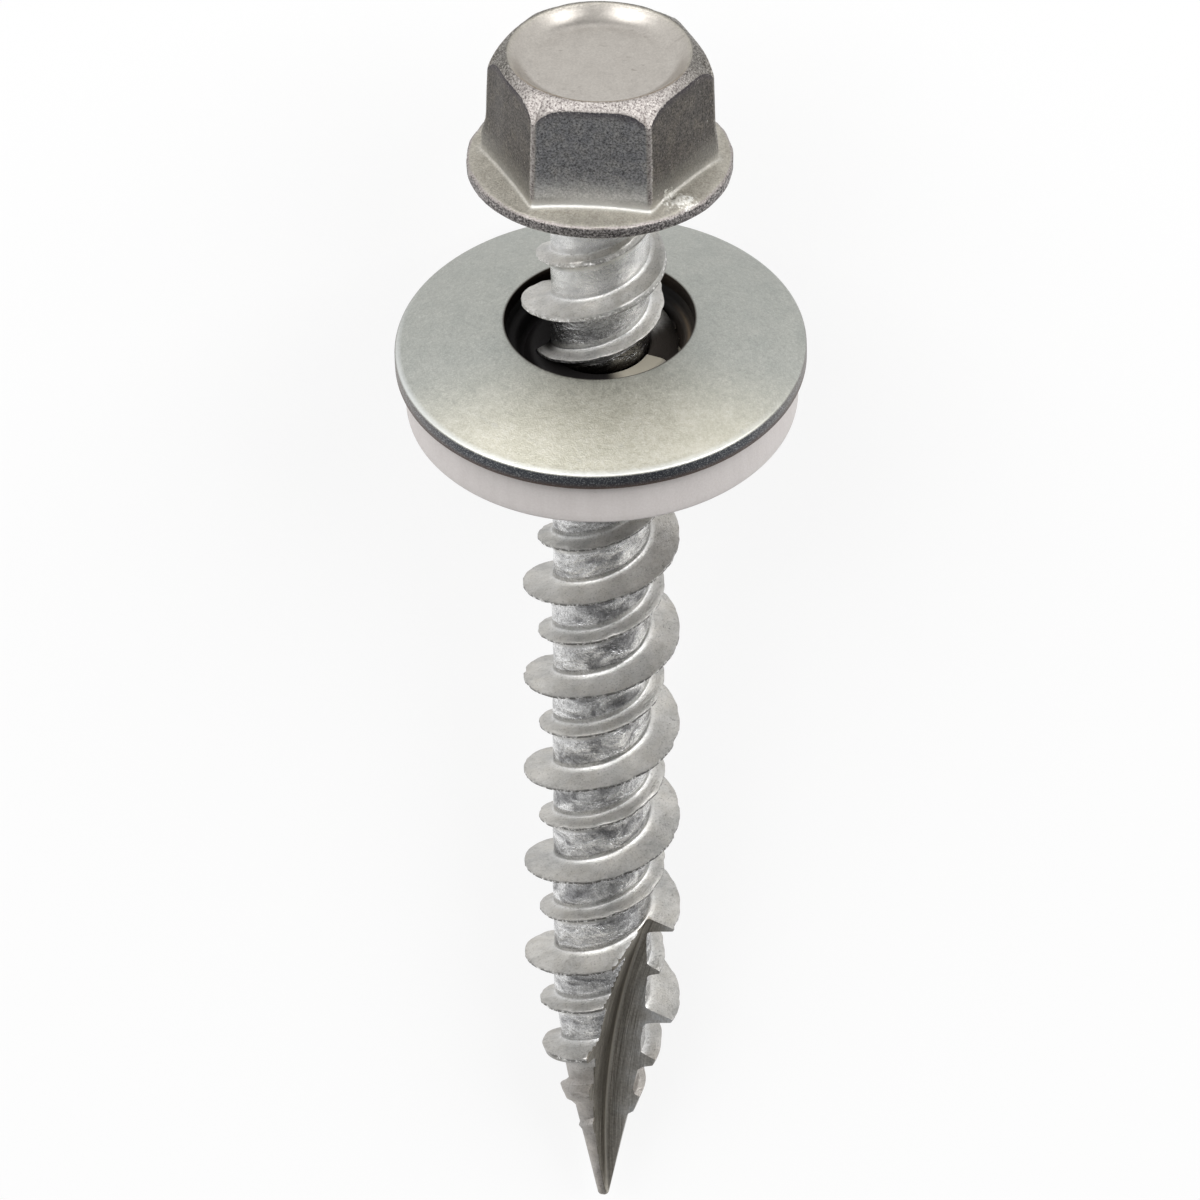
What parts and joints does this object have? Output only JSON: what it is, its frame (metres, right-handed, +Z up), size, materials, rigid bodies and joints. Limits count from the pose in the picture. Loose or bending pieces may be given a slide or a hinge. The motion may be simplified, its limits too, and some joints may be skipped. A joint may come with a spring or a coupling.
{
  "type": "metal-to-wood screw",
  "caption": "Hex washer head screw for fastening sheet metal to wood, with a coarse high-low thread, a fluted cutting point and a domed steel sealing washer with a bonded rubber ring.",
  "frame": {"origin": "middle of the bounding box, on the surface that the screw lies on", "axes": "+Y runs towards the head, whose end of the screw's axis is raised by 9.63 degrees; +Z is up; +X is to the right of a viewer who has the head at the top"},
  "size_m": [0.0126, 0.0422, 0.0123],
  "materials": {
    "plated_steel": "zinc plated, satin, with worn edges",
    "washer_steel": "galvanised, matte",
    "seal_rubber": "pale grey moulded rubber, matte"
  },
  "bodies": {
    "root": {"screw": "plated_steel", "steel_washer": "washer_steel", "rubber_seal": "seal_rubber"}
  },
  "joints": []
}
